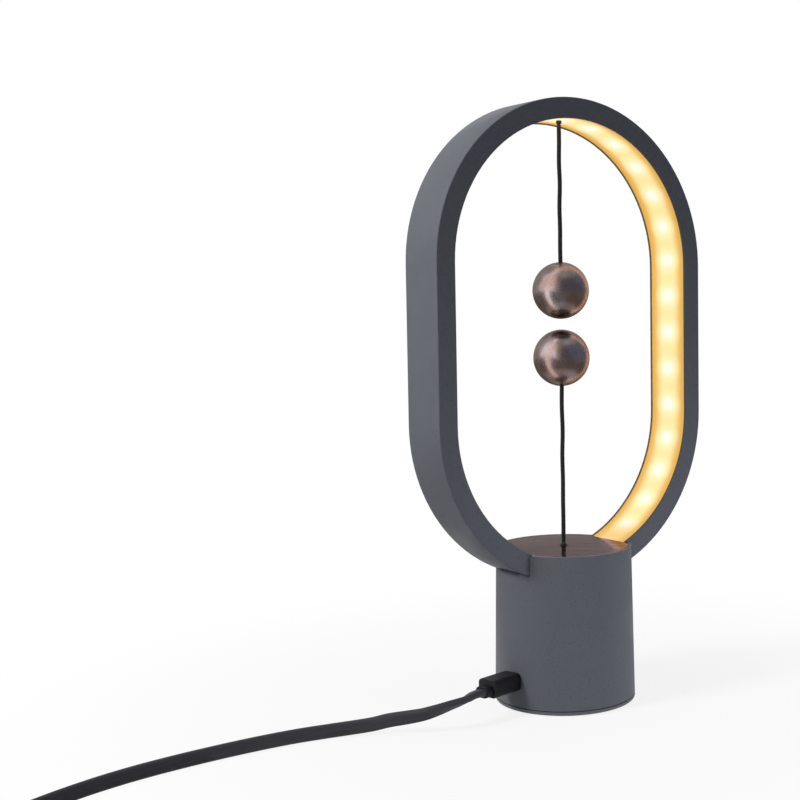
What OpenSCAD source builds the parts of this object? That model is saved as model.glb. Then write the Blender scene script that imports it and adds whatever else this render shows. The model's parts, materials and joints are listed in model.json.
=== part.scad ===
// Magnetic balance lamp: a round base carries an upright light ring, and two
// magnetic balls on cords pull towards each other in its middle. The upper ball
// hangs from the top of the ring. The lower ball's cord runs into the base,
// where it lifts a plunger that works the lamp's switch.
// Origin: centre of the base's underside, +Z up, front towards -Y, ring along X.

/* [Ring] */
// Height of the whole lamp
lamp_h = 250; // [235:1:280]
// Width of the ring across its straight sides
ring_w = 135; // [125:1:150]
// Depth of the ring from front to back
ring_depth = 23; // [21:0.5:26]
// Thickness of the ring from its outer to its inner edge
ring_wall = 8.5; // [8:0.1:11]
// Thickness of the ring's outer wall, behind the lights
ring_back = 2; // [1.6:0.1:2.4]
// Thickness of the ring's front and rear walls
ring_side = 1.8; // [1.4:0.1:2.4]
// Width of the thin lips in front of and behind the diffuser
ring_lip = 0.7; // [0.6:0.1:1.2]
// Depth that the ring's foot sinks below the top of the base
ring_sink = 13.5; // [13:0.5:15]

/* [Light] */
// Thickness of the diffuser
diffuser_t = 1.6; // [1:0.1:1.8]
// Depth of the diffuser behind the ring's inner lips
diffuser_inset = 0.6; // [0.3:0.1:0.8]
// Width of the flexible strip that carries the lights
strip_w = 10; // [8:0.5:12]
// Thickness of that strip
strip_t = 0.4; // [0.3:0.05:0.5]
// Distance from one light to the next
led_pitch = 16; // [12:0.5:20]
// Distance of the first light from the ring's top
led_shift = 1.6; // [0:0.1:8]
// Width and length of one light
led_w = 5; // [3:0.1:5]
// Height of one light
led_h = 1.6; // [1.2:0.1:1.6]

/* [Balls and cords] */
// Diameter of each ball
ball_d = 23.6; // [21:0.1:26]
// Gap between the two balls while the magnets hold
ball_gap = 4.4; // [3:0.1:8]
// Height of the middle of that gap
gap_z = 158; // [150:1:170]
// Diameter of the two cords
cord_d = 1.8; // [1.2:0.1:1.9]
// Diameter of the pocket turned into each ball
pocket_d = 12; // [10:0.5:13]
// Height of each magnet
magnet_h = 6; // [4:0.5:6]

/* [Base] */
// Height of the base
base_h = 65; // [62:1:72]
// Diameter of the base at its top
base_top_d = 57; // [56:0.5:64]
// How much wider the base is where it meets the floor
base_flare = 2.2; // [0.5:0.1:3]
// Wall thickness of the base, at its top
base_wall = 2.2; // [2:0.1:2.6]
// Height of the seam between base and bottom cover
seam_z = 2.4; // [1.8:0.1:3]
// Height of the groove along the seam
seam_gap = 0.4; // [0.1:0.1:0.6]
// Thickness of the brushed top plate
plate_t = 1.2; // [0.8:0.1:2]
// Width of the painted rim round the top plate
rim_w = 1.2; // [0.8:0.1:1.4]
// Thickness of the rubber pad
pad_t = 1; // [0.8:0.1:1.2]
// Height of the steel weight
ballast_h = 6; // [4:0.5:6]

/* [Switch] */
// Travel of the plunger from on to off
lift = 2; // [1:0.1:2]
// Diameter of the plunger's rod
rod_d = 3; // [2.5:0.1:3]
// Length of the switch body
switch_l = 12.8; // [12:0.1:13.5]
// Width of the switch body
switch_w = 5.8; // [5:0.1:6.4]
// Height of the switch body
switch_h = 6.5; // [6:0.1:7]

/* [Lead] */
// Height of the charging socket's centre
port_z = 13; // [11.5:0.1:13]
// Turn of the socket from the left side towards the front
port_turn = 13; // [0:1:15]
// Offset of the socket towards the rear
port_side = 3.6; // [0:0.1:4]
// Width of the small plug's grip
grip_w = 9.6; // [9:0.1:12]
// Height of the small plug's grip
grip_h = 7.2; // [6.6:0.1:7.6]
// Length of the small plug's grip
grip_l = 14.5; // [12:0.5:16]
// Width of the flat lead
lead_w = 5.6; // [5:0.1:5.8]
// Thickness of the flat lead
lead_t = 2.8; // [2.2:0.1:2.9]
// Number of turns in the coil
coil_turns = 4; // [3:1:5]
// Radius of the coil's innermost turn
coil_in_r = 22.5; // [22:0.5:26]
// Distance from one turn to the next
coil_pitch = 3.6; // [3.4:0.1:3.8]

/* [Hidden] */
$fn = 96;
// Clearances: glued or pushed seats, moving neighbours, and the sliding rod
fit = 0.1;
seat = 0.05;
free = 0.15;
slide_fit = 0.06;

// Ring
ring_r = ring_w / 2;
inner_r = ring_r - ring_wall;
foot_z = base_h - ring_sink;
low_z = foot_z + ring_r;
high_z = lamp_h - ring_r;
channel_w = ring_depth - 2 * ring_side;
channel_r = ring_r - ring_back;
mouth_w = ring_depth - 2 * ring_lip;
diffuser_r = inner_r + diffuser_inset;
diffuser_foot = base_h - plate_t - 1.5;
strip_r = channel_r - seat;
led_r = strip_r - strip_t - 0.1 - led_h / 2;
strip_foot = 9;
arc_len = PI * led_r / 2;
side_len = high_z - low_z;
strip_len = arc_len + side_len + led_r * (90 - asin(strip_foot / led_r)) * PI / 180;
led_count = floor(strip_len / led_pitch);

// Cords, knots and balls
cord_r = cord_d / 2;
knot_r = cord_r + 0.3;
ball_r = ball_d / 2;
upper_z = gap_z + ball_gap / 2 + ball_r;
lower_z = gap_z - ball_gap / 2 - ball_r;
upper_pivot = high_z + inner_r - 0.2;
lower_pivot = base_h + 0.4;
magnet_z = 2.5 - ball_r;
cap_z = 3;
stop_r = 1.7;

// Upper anchor
anchor_r = 2.4;
anchor_z = upper_pivot + 0.6;
pin_r = 0.8;

// Base
base_r = base_top_d / 2;
base_foot_r = base_r + base_flare / 2;
bore_r = base_r - base_wall;
plate_r = base_r - rim_w;
plate_z = base_h - plate_t;
ledge_w = 2.2;
seam_r = base_foot_r - (base_foot_r - base_r) * seam_z / base_h;
cover_z = 0.4;
cover_edge = 1;
cover_top = pad_t + 2.2;
spigot_r = bore_r - fit;
pad_r = bore_r - 0.4;
shelf_t = 3.5;
shelf_top = foot_z - fit;
shelf_z = shelf_top - shelf_t;
shelf_r = bore_r - fit;
shelf_ledge = 3.5;
cradle_x = 8;
cradle_w = 15;
cradle_y = 9;
cradle_top = foot_z + 3.5;

// Screw posts, weight and board
post_r = 3.2;
post_ring = bore_r + 0.3 - post_r;
post_turns = [45:90:315];
screw_r = 1.2;
head_r = 2.3;
head_h = 1.3;
ballast_r = post_ring - post_r - 2;
fence_t = 1.2;
fence_h = 4;
cover_screw_l = 5;
board_screw_l = 5;
through = 20;
socket_w = 7.9;
socket_h = 2.9;
socket_l = 5.8;
board_z = port_z + socket_h / 2 + seat;
board_t = 1.6;
board_top = board_z + board_t;
board_r = bore_r - 0.9;
can_r = 3;
can_h = 4;
tall_can_r = 2.5;
tall_can_h = 5.5;
chip_size = [5, 4, 1.5];
resistor_size = [1, 2, 0.6];
shelf_screw_ring = bore_r - 1.9;
shelf_screw_turns = [50, 130, 230, 310];
ring_screw_x = 17;

// Plunger, guide and switch
rod_r = rod_d / 2;
rod_top = plate_z - 5.8;
bush_r = rod_r + 1.3;
bush_flange_r = rod_r + 2.7;
bush_top = foot_z + ring_back + 0.5;
bush_z = shelf_z - seat - 1;
spring_wire = 0.5;
spring_r = rod_r + 1;
spring_turns = 5;
collar_r = rod_r + 2.1;
collar_t = 1.3;
collar_z = bush_z - 5.7 - lift;
spring_z = collar_z + collar_t;
foot_collar_r = rod_r + 2.7;
foot_collar_t = 1.4;
foot_collar_top = collar_z - 7;
rod_z = foot_collar_top - foot_collar_t - 1.6;
lever_t = 0.4;
lever_tip = rod_r + 0.7;
lever_z = foot_collar_top + free;
switch_x = collar_r + 1.6;
switch_z = lever_z + lever_t + 1.45;
lever_pivot_x = switch_x + switch_l - 0.8;
lever_pivot_z = switch_z - 1;
lever_barrel_r = 0.8;
lever_pin_r = 0.4;
lever_arm = lever_pivot_x - lever_tip;
button_x = switch_x + 6.8;
button_r = 0.7;
button_z = lever_z + lever_t + 0.07;
switch_screw_z = switch_z + 4.6;
switch_screw_x = [switch_x + 3, switch_x + switch_l - 3];
m2_r = 0.9;
m2_head_r = 1.7;
m2_head_h = 1;
bracket_t = 1.2;
bracket_y = switch_w / 2 + fit;
bracket_reach = 9;
blade_t = 0.5;
blade_low_z = switch_z + 2;
blade_high_z = switch_z + 5.4;
blade_low_l = 2.6;
blade_high_l = 4;
wire_r = 0.6;
led_wire_x = -13;
wire_hole_r = 2.2;

// Small plug, along the socket's own axis (outwards is -X)
wall_x = -(seam_r + 0.2);
socket_x = -(bore_r + 1.6);
tip_w = 6.9;
tip_h = 1.85;
tip_l = 6.2;
tip_wall = 0.25;
relief_w = 6.8;
relief_h = 4.4;
relief_l = 3.4;
relief_drop = 0.9;
exit_x = wall_x - grip_l - relief_l;

// Lead: first its start on the socket's axis, then points chosen by hand
port_dir = [-cos(port_turn), -sin(port_turn), 0];
port_across = [-sin(port_turn), cos(port_turn), 0];
exit_point = [0, 0, port_z - relief_drop] + port_across * port_side - port_dir * exit_x;
exit_run = 5;
lead_route = [
    [-56.5, -9.3, 11.3], [-63.4, -8.9, 10.3], [-68.6, -7.5, 9.1], [-73.1, -4.7, 7.7],
    [-77.5, -0.9, 6.6], [-83.4, 3.9, 5.4], [-88.5, 7.6, 4], [-96, 11.4, 3.2], [-105, 14.3, 2.9], [-115, 16.2, 2.9],
    [-126, 17.3, 2.9], [-138, 17.7, 2.9], [-151, 17.5, 2.9], [-164, 16.7, 2.9],
    [-178, 15.1, 2.9], [-192, 12.2, 2.9], [-206, 7.9, 2.9], [-218, 3.2, 2.9],
    [-230, -1.6, 3], [-240, -5.3, 3.2], [-249, -7.9, 3.3],
    [-254.5, -8.9, 3.4], [-258, -9, 3.4]
];
lead_path = concat([exit_point, exit_point + port_dir * exit_run], lead_route);
// The flat lead leaves the plug lying flat and turns onto its edge
twist_start = 46;
twist_run = 36;
lead_sides = 8;

// Coil of the lead that is put away, beside the lamp
tie_t = 0.5;
tie_w = 8;
layer_z = lead_w + 1;
coil_start = lead_route[len(lead_route) - 1];
coil_end_run = lead_w;
coil_out_r = coil_in_r + coil_pitch * coil_turns / 2;
coil_x = coil_start[0] - coil_end_run;
coil_y = coil_start[1] + coil_out_r;
coil_steps = 24;
coil_sides = 6;
tail_route = [
    [-272, -9, 9.9], [-277, -9, 9.3], [-282.5, -9, 8.5], [-288, -9, 7.3], [-294, -9, 5.8], [-300, -9, 4.7]
];
big_plug_z = 4.1;
big_relief_l = 8;
big_grip_l = 24;
big_grip_w = 15.5;
big_grip_h = 2 * big_plug_z;
big_shell_l = 12;
big_shell_w = 12;
big_shell_h = 4.5;
big_shell_t = 0.35;
tail_end = [-306, coil_start[1], big_plug_z];
tail_run = 3;

// ---- shared shapes ----

// Outline of the ring: two round ends joined by straight sides
module pill(r) {
    for (z = [low_z, high_z]) translate([0, z]) circle(r, $fn = 180);
    translate([-r, low_z]) square([2 * r, high_z - low_z]);
}

module pill_band(r_out, r_in, depth) {
    rotate([90, 0, 0])
        linear_extrude(depth, center = true)
            difference() {
                pill(r_out);
                pill(r_in);
            }
}

// The space that the ring takes, with a clearance round it
module ring_zone(gap) {
    pill_band(ring_r + gap, inner_r - gap, ring_depth + 2 * gap);
}

module tube(r_out, r_in, h) {
    difference() {
        cylinder(r = r_out, h = h);
        translate([0, 0, -1]) cylinder(r = r_in, h = h + 2);
    }
}

module round_rect(w, h, r) {
    square([w - 2 * r, h], center = true);
    square([w, h - 2 * r], center = true);
    for (x = [-1, 1], y = [-1, 1])
        translate([x * (w / 2 - r), y * (h / 2 - r)]) circle(r, $fn = 48);
}

// A bar with a round-cornered section that starts at x and runs l towards -X
module bar_out(x, w, h, r, l) {
    translate([x, 0, 0]) rotate([0, -90, 0]) rotate([0, 0, 90])
        linear_extrude(l) round_rect(w, h, r);
}

// A screw standing on z = 0: the head is below it, the shank above
module screw_up(r, head, head_height, l) {
    cylinder(r = r, h = l, $fn = 32);
    translate([0, 0, -head_height]) cylinder(r = head, h = head_height, $fn = 32);
}

module on_circle(r, turns) {
    for (a = turns) rotate([0, 0, a]) translate([r, 0, 0]) children();
}

// Places its children on the socket's axis, which leaves the base towards -X
module at_port() {
    translate([0, 0, port_z]) rotate([0, 0, port_turn]) translate([0, port_side, 0]) children();
}

// Place on the ring's light line, s away from the top: x, z and turn from upright
function light_place(s) =
    let (side = s < 0 ? -1 : 1, d = abs(s))
    d < arc_len ? place_on_arc(side, 90 * d / arc_len, high_z)
    : d < arc_len + side_len ? [side * led_r, high_z - d + arc_len, side * 90]
    : place_on_arc(side, 90 * (d - side_len) / arc_len, low_z);

function place_on_arc(side, a, z) = [side * led_r * sin(a), z + led_r * cos(a), side * a];

// ---- swept tubes ----

function unit(v) = v / norm(v);

function heading(p, i) = unit(p[min(i + 1, len(p) - 1)] - p[max(i - 1, 0)]);

// Corners of one oval section, w wide and t thick, rolled about the path
function section(c, h, w, t, roll, sides) =
    let (s = unit(cross([0, 0, 1], h)), u = cross(h, s))
    [for (k = [0 : sides - 1])
        let (a = 360 * (k + 0.5) / sides, p = w / 2 * cos(a), q = t / 2 * sin(a))
        c + s * (p * cos(roll) - q * sin(roll)) + u * (p * sin(roll) + q * cos(roll))];

module sweep(path, w, t, rolls, sides) {
    n = len(path);
    points = [for (i = [0 : n - 1]) each section(path[i], heading(path, i), w, t, rolls[i], sides)];
    walls = [for (i = [0 : n - 2], k = [0 : sides - 1])
        let (a = i * sides + k, b = i * sides + (k + 1) % sides)
        each [[a, a + sides, b + sides], [a, b + sides, b]]];
    start_cap = [for (k = [1 : sides - 2]) [0, k, k + 1]];
    last = (n - 1) * sides;
    end_cap = [for (k = [1 : sides - 2]) [last, last + k + 1, last + k]];
    polyhedron(points = points, faces = concat(walls, start_cap, end_cap));
}

function lead_roll(p) = 90 * min(1, max(0, (-p[0] - twist_start) / twist_run));

// The coil spirals in on the lower layer, climbs, and spirals out on the upper one
function coil_point(turn) =
    let (
        off = abs(turn - coil_turns / 2),
        r = coil_in_r + coil_pitch * off,
        a = -90 - 360 * turn,
        climb = min(1, max(0, 2 * (turn - coil_turns / 2) + 0.5))
    )
    [coil_x + r * cos(a), coil_y + r * sin(a), coil_start[2] + layer_z * climb];

coil_loops = [for (k = [0 : coil_turns * coil_steps]) coil_point(k / coil_steps)];
coil_top = coil_start[2] + layer_z;
coil_path = concat([coil_start], coil_loops, [[coil_x - coil_end_run, coil_start[1], coil_top]]);
coil_end = coil_path[len(coil_path) - 1];
tail_path = concat(
    [coil_end, coil_end - [0.5, 0, 0]], tail_route, [tail_end + [tail_run, 0, 0], tail_end]);

// Least gap between two turns, with the oval section drawn in to a round one
coil_gap = min([for (i = [0 : len(coil_loops) - 1], k = [i + coil_steps / 2 : len(coil_loops) - 1])
    let (d = coil_loops[i] - coil_loops[k]) norm([d[0], d[1], d[2] * lead_t / lead_w]) - lead_t]);
echo(coil_gap = coil_gap);

// ---- ring ----

module ring_frame() {
    color("#4a525b") difference() {
        pill_band(ring_r, inner_r, ring_depth);
        pill_band(channel_r, inner_r - 1, channel_w);
        pill_band(diffuser_r + diffuser_t + fit, inner_r - 1, mouth_w);
        translate([0, 0, foot_z - 1]) cylinder(r = bush_r + fit, h = ring_back + 3);
        translate([led_wire_x, 0, foot_z - 1]) cylinder(r = wire_hole_r, h = ring_back + 5);
        for (side = [-1, 1])
            translate([side * ring_screw_x, 0, foot_z - 1])
                cylinder(r = screw_r + fit, h = ring_back + 6);
    }
}

module light_diffuser() {
    color("#ffd98a") difference() {
        pill_band(diffuser_r + diffuser_t, diffuser_r, mouth_w - 2 * fit);
        translate([0, 0, diffuser_foot - ring_w / 2]) cube([ring_w, ring_depth, ring_w], center = true);
        translate([0, 0, anchor_z - 2]) cylinder(r = anchor_r + fit, h = diffuser_t + 5);
    }
}

module led_strip() {
    color("#f4f0e6") difference() {
        pill_band(strip_r, strip_r - strip_t, strip_w);
        translate([-strip_foot, -ring_depth, foot_z]) cube([2 * strip_foot, 2 * ring_depth, 20]);
        translate([0, 0, high_z]) cylinder(r = pin_r + 0.2, h = ring_r);
    }
}

module led_chips() {
    color("#fff3c4")
        for (i = [-led_count : led_count]) {
            s = led_shift + i * led_pitch;
            p = light_place(s);
            if (abs(s) < strip_len - led_w && abs(s) > led_w / 2 + pin_r + 0.5)
                translate([p[0], 0, p[1]]) rotate([0, p[2], 0])
                    cube([led_w, led_w, led_h], center = true);
        }
}

module upper_anchor() {
    flange_z = high_z + diffuser_r + diffuser_t + seat;
    color("#2b2b2e") difference() {
        union() {
            translate([0, 0, anchor_z]) cylinder(r = anchor_r, h = flange_z - anchor_z);
            translate([0, 0, flange_z]) cylinder(r = anchor_r + 1, h = 0.8);
            translate([0, 0, flange_z]) cylinder(r = pin_r, h = high_z + channel_r - seat - flange_z);
        }
        translate([0, 0, upper_pivot]) sphere(knot_r + free);
    }
}

// ---- base shell ----

module base_housing() {
    color("#474e57") difference() {
        union() {
            rotate_extrude() polygon([
                [seam_r, seam_z], [base_r, base_h], [plate_r + fit, base_h], [plate_r + fit, plate_z],
                [plate_r - ledge_w, plate_z], [plate_r - ledge_w, plate_z - 1.4],
                [bore_r, plate_z - 1.4 - ledge_w], [bore_r, shelf_z],
                [bore_r - shelf_ledge, shelf_z], [bore_r - shelf_ledge, shelf_z - 2],
                [bore_r, shelf_z - 2 - shelf_ledge], [bore_r, seam_z]
            ]);
            on_circle(post_ring, post_turns)
                translate([0, 0, cover_top + seat]) cylinder(r = post_r, h = board_z - cover_top - seat);
        }
        ring_zone(fit);
        on_circle(post_ring, post_turns) cylinder(r = screw_r + 0.02, h = board_z + 1, $fn = 32);
        on_circle(shelf_screw_ring, shelf_screw_turns)
            translate([0, 0, shelf_z - 4]) cylinder(r = m2_r + 0.02, h = 5, $fn = 32);
        at_port() bar_out(socket_x + 3, socket_w + 0.4, socket_h + 0.4, 0.5, 12);
    }
}

module top_plate() {
    color("#5b4a44") difference() {
        translate([0, 0, plate_z + 0.02]) cylinder(r = plate_r, h = plate_t - 0.02);
        ring_zone(fit);
        translate([0, 0, plate_z - 1]) cylinder(r = 2.2 + seat, h = plate_t + 2);
    }
}

// Sleeve in the plate's centre: narrow below, flared at its mouth
module plate_eyelet() {
    hole_r = knot_r + 0.3;
    mouth_r = knot_r + 0.75;
    color("#1d1d20") rotate_extrude() polygon([
        [hole_r, plate_z - 1.2], [3, plate_z - 1.2], [3, plate_z - 0.05], [2.2, plate_z - 0.05],
        [2.2, base_h + 0.05], [mouth_r, base_h + 0.05], [hole_r, base_h - 1]
    ]);
}

module shelf() {
    color("#3a3a3d") difference() {
        union() {
            translate([0, 0, shelf_z + 0.02]) cylinder(r = shelf_r, h = shelf_t - 0.02);
            intersection() {
                translate([0, 0, shelf_z + 1]) cylinder(r = shelf_r, h = cradle_top - shelf_z - 1);
                for (side = [-1, 1])
                    translate([side * (cradle_x + cradle_w / 2), 0, shelf_z + 10])
                        cube([cradle_w, 2 * cradle_y, 30], center = true);
            }
        }
        pill_band(ring_r + seat, 0.5, ring_depth + 2);
        translate([0, 0, shelf_z - 1]) cylinder(r = bush_r + fit, h = shelf_t + 2);
        translate([led_wire_x, 0, shelf_z - 1]) cylinder(r = wire_hole_r, h = 20);
        for (side = [-1, 1])
            translate([side * ring_screw_x, 0, shelf_z - 1]) cylinder(r = screw_r + fit, h = 20, $fn = 32);
        on_circle(shelf_screw_ring, shelf_screw_turns)
            translate([0, 0, shelf_z - 1]) cylinder(r = m2_r + fit, h = shelf_t + 2, $fn = 32);
        bracket_screw_places() cylinder(r = m2_r + 0.02, h = shelf_t + 2, $fn = 32);
    }
}

module shelf_screws() {
    color("silver") on_circle(shelf_screw_ring, shelf_screw_turns)
        translate([0, 0, shelf_top + 0.02]) mirror([0, 0, 1])
            screw_up(m2_r, m2_head_r, m2_head_h, shelf_t + 3);
}

module ring_screws() {
    top = low_z - sqrt(pow(channel_r, 2) - pow(ring_screw_x - screw_r, 2)) - 0.1;
    color("silver") for (side = [-1, 1])
        translate([side * ring_screw_x, 0, shelf_z]) screw_up(screw_r, head_r, head_h, top - shelf_z);
}

module bottom_cover() {
    color("#3d434b") difference() {
        union() {
            rotate_extrude() {
                translate([0, cover_z]) square([seam_r - cover_edge, seam_z - 0.03 - cover_z]);
                translate([0, cover_z + cover_edge])
                    square([seam_r, seam_z - seam_gap - cover_z - cover_edge]);
                translate([seam_r - cover_edge, cover_z + cover_edge])
                    intersection() {
                        circle(cover_edge, $fn = 48);
                        translate([-cover_edge, -cover_edge]) square([2 * cover_edge, cover_edge]);
                    }
            }
            translate([0, 0, cover_z + 0.5]) cylinder(r = spigot_r, h = cover_top - cover_z - 0.5);
            translate([0, 0, cover_top - 0.5]) cylinder(r = ballast_r + fit + fence_t, h = fence_h);
        }
        translate([0, 0, cover_top]) cylinder(r = ballast_r + fit, h = through);
        translate([0, 0, -1]) cylinder(r = pad_r + fit, h = pad_t + 1);
        on_circle(post_ring, post_turns) cylinder(r = screw_r + 0.15, h = through, $fn = 32);
        on_circle(post_ring, post_turns) cylinder(r = head_r + fit, h = pad_t + head_h + fit, $fn = 32);
    }
}

module cover_screws() {
    color("silver") on_circle(post_ring, post_turns)
        translate([0, 0, pad_t + head_h + fit]) screw_up(screw_r, head_r, head_h, cover_screw_l);
}

module rubber_pad() {
    color("#151515") cylinder(r = pad_r, h = pad_t - 0.02);
}

module ballast_weight() {
    color("#8b8d90") translate([0, 0, cover_top + 0.02]) cylinder(r = ballast_r, h = ballast_h);
}

// ---- electrics ----

module main_board() {
    color("#1f5b34") difference() {
        translate([0, 0, board_z]) cylinder(r = board_r, h = board_t);
        on_circle(post_ring, post_turns) cylinder(r = m2_r + fit, h = board_top + 1, $fn = 32);
    }
}

module board_parts() {
    top = board_top + 0.02;
    color("#2a2a2a") {
        translate([0.276 * board_r, 0.354 * board_r, top]) cylinder(r = can_r, h = can_h);
        translate([0.354 * board_r, -0.354 * board_r, top]) cylinder(r = tall_can_r, h = tall_can_h);
        translate([-0.236 * board_r, 0.118 * board_r, top]) cube(chip_size);
        translate([-0.118 * board_r, -0.315 * board_r, top]) cube(chip_size);
        for (x = [-0.472, -0.354, 0, 0.118])
            translate([x * board_r, 0.472 * board_r, top]) cube(resistor_size);
    }
}

module board_screws() {
    color("silver") on_circle(post_ring, post_turns)
        translate([0, 0, board_top + 0.02]) mirror([0, 0, 1])
            screw_up(m2_r, m2_head_r, m2_head_h, board_screw_l);
}

// Shell of the charging socket, closed at its inner end
module usb_socket() {
    color("#b9bcc0") at_port() difference() {
        bar_out(socket_x + socket_l, socket_w, socket_h, 0.6, socket_l);
        bar_out(socket_x + socket_l - 0.4, tip_w + 0.3, tip_h + 0.3, 0.4, socket_l);
    }
}

module socket_tongue() {
    color("#18181a") at_port()
        translate([socket_x + 1, -1.85, -0.3]) cube([socket_l - 1.42, 3.7, 0.6]);
}

module led_wires() {
    top = low_z - sqrt(pow(channel_r, 2) - pow(led_wire_x + wire_r, 2)) - 0.1;
    color("#a02020") for (y = [-1.2, 1.2])
        translate([led_wire_x, y, board_top + 0.02])
            cylinder(r = wire_r, h = top - board_top, $fn = 24);
}

module switch_wires() {
    x = switch_x + switch_l;
    color("#202020") {
        translate([x + blade_low_l / 2, 0, board_top + 0.02])
            cylinder(r = wire_r, h = blade_low_z - board_top - 0.04, $fn = 24);
        translate([x + blade_high_l - wire_r, 0, board_top + 0.02])
            cylinder(r = wire_r, h = blade_high_z - board_top - 0.04, $fn = 24);
    }
}

// ---- switch ----

module guide_bush() {
    color("#c9a24a") difference() {
        union() {
            translate([0, 0, bush_z]) cylinder(r = bush_flange_r, h = 1);
            translate([0, 0, bush_z]) cylinder(r = bush_r, h = bush_top - bush_z);
        }
        translate([0, 0, bush_z - 1]) cylinder(r = rod_r + slide_fit, h = 20);
    }
}

// Spring that pushes the plunger down once the magnets let go
module return_spring() {
    steps = 8;
    h = bush_z - spring_z - spring_wire - 0.04;
    path = [for (k = [0 : spring_turns * steps])
        let (a = 360 * k / steps)
        [spring_r * cos(a), spring_r * sin(a),
            spring_z + spring_wire / 2 + 0.02 + h * k / (spring_turns * steps)]];
    color("#9a9da1") sweep(path, spring_wire, spring_wire, [for (p = path) 0], 6);
}

module bracket_screw_places() {
    for (x = switch_screw_x)
        translate([x, bracket_y + bracket_reach - 3, shelf_z - bracket_t - 1]) children();
}

module switch_bracket() {
    top = shelf_z - seat;
    color("#7f8388") difference() {
        union() {
            translate([switch_x + 0.4, bracket_y, switch_z + 0.5])
                cube([switch_l - 0.8, bracket_t, top - switch_z - 0.5]);
            translate([switch_x + 0.4, bracket_y, top - bracket_t])
                cube([switch_l - 0.8, bracket_reach, bracket_t]);
        }
        bracket_screw_places() cylinder(r = m2_r + fit, h = bracket_t + 3, $fn = 32);
        switch_screw_places() rotate([-90, 0, 0]) cylinder(r = m2_r + 0.02, h = 20, $fn = 32);
    }
}

module bracket_screws() {
    color("silver") bracket_screw_places()
        translate([0, 0, 1 - seat - 0.02]) screw_up(m2_r, m2_head_r, m2_head_h, bracket_t + 3);
}

module switch_screw_places() {
    for (x = switch_screw_x) translate([x, -switch_w / 2, switch_screw_z]) children();
}

// Body with two ears and the pin that the lever turns on
module switch_body() {
    color("#26282b") difference() {
        union() {
            translate([switch_x, -switch_w / 2, switch_z]) cube([switch_l, switch_w, switch_h]);
            for (y = [-switch_w / 2, switch_w / 2 - 0.8])
                translate([lever_pivot_x - 0.8, y, lever_pivot_z - 0.8]) cube([1.6, 0.8, 2.8]);
            translate([lever_pivot_x, 0, lever_pivot_z]) rotate([90, 0, 0])
                cylinder(r = lever_pin_r, h = switch_w - 0.4, center = true, $fn = 32);
        }
        translate([button_x, 0, switch_z - 1]) cylinder(r = button_r + fit, h = 3.4, $fn = 32);
        switch_screw_places() translate([0, -1, 0]) rotate([-90, 0, 0])
            cylinder(r = m2_r + fit, h = switch_w + 2, $fn = 32);
    }
}

module switch_blades() {
    x = switch_x + switch_l + 0.02;
    color("#d8c27a") {
        translate([x, -1.4, blade_low_z]) cube([blade_low_l, 2.8, blade_t]);
        translate([x, -1.4, blade_high_z]) cube([blade_high_l, 2.8, blade_t]);
    }
}

module switch_screws() {
    color("silver") switch_screw_places() translate([0, -0.02, 0]) rotate([-90, 0, 0])
        screw_up(m2_r, m2_head_r, m2_head_h, switch_w + bracket_t);
}

module switch_lever() {
    color("#b9bcc0") difference() {
        union() {
            translate([lever_tip, -1.4, lever_z]) cube([lever_arm, 2.8, lever_t]);
            translate([lever_pivot_x, 0, lever_pivot_z]) rotate([90, 0, 0])
                cylinder(r = lever_barrel_r, h = 2.8, center = true, $fn = 48);
        }
        translate([lever_pivot_x, 0, lever_pivot_z]) rotate([90, 0, 0])
            cylinder(r = lever_pin_r + slide_fit, h = 4, center = true, $fn = 48);
    }
}

module switch_button() {
    color("#c0392b") translate([button_x, 0, button_z])
        cylinder(r = button_r, h = switch_z + 2.2 - button_z, $fn = 32);
}

module plunger() {
    color("#d9d6cc") {
        translate([0, 0, rod_z]) cylinder(r = rod_r, h = rod_top - rod_z);
        translate([0, 0, collar_z]) cylinder(r = collar_r, h = collar_t);
        translate([0, 0, foot_collar_top - foot_collar_t])
            cylinder(r = foot_collar_r, h = foot_collar_t);
    }
}

// ---- cords and balls ----

module pull_cord() {
    color("#17171a") translate([0, 0, rod_top + 0.02])
        cylinder(r = cord_r, h = lower_pivot - knot_r - 0.07 - rod_top, $fn = 32);
}

module knot(z) {
    color("#17171a") translate([0, 0, z]) sphere(knot_r, $fn = 48);
}

module lower_knot() knot(lower_pivot);

module upper_knot() knot(upper_pivot);

module lower_cord() {
    z = lower_pivot + knot_r + 0.05;
    color("#17171a") translate([0, 0, z])
        cylinder(r = cord_r, h = lower_z - cap_z - z, $fn = 32);
}

module upper_cord() {
    color("#17171a") translate([0, 0, upper_z + cap_z])
        cylinder(r = cord_r, h = upper_pivot - knot_r - 0.05 - upper_z - cap_z, $fn = 32);
}

// Puts a ball's pieces in place with its cord side up, or down for the lower one
module at_ball(z, turn) {
    translate([0, 0, z]) rotate([turn, 0, 0]) children();
}

module ball() {
    color("#5d5754") difference() {
        sphere(ball_r, $fn = 120);
        translate([0, 0, magnet_z - 0.02]) cylinder(r = pocket_d / 2, h = ball_d);
    }
}

// Screwed-in cap that closes the pocket and follows the ball's round surface
module ball_cap() {
    color("#5d5754") difference() {
        intersection() {
            sphere(ball_r, $fn = 120);
            translate([0, 0, cap_z]) cylinder(r = pocket_d / 2 - 0.03, h = ball_d);
        }
        translate([0, 0, cap_z - 1]) cylinder(r = cord_r + seat, h = ball_d, $fn = 32);
    }
}

module magnet() {
    color("#aeb1b5") translate([0, 0, magnet_z]) cylinder(r = pocket_d / 2 - fit, h = magnet_h);
}

module cord_stop() {
    color("#c9a24a") translate([0, 0, cap_z - 0.02 - stop_r]) sphere(stop_r, $fn = 48);
}

module lower_ball() at_ball(lower_z, 180) ball();

module lower_ball_cap() at_ball(lower_z, 180) ball_cap();

module lower_magnet() at_ball(lower_z, 180) magnet();

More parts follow.
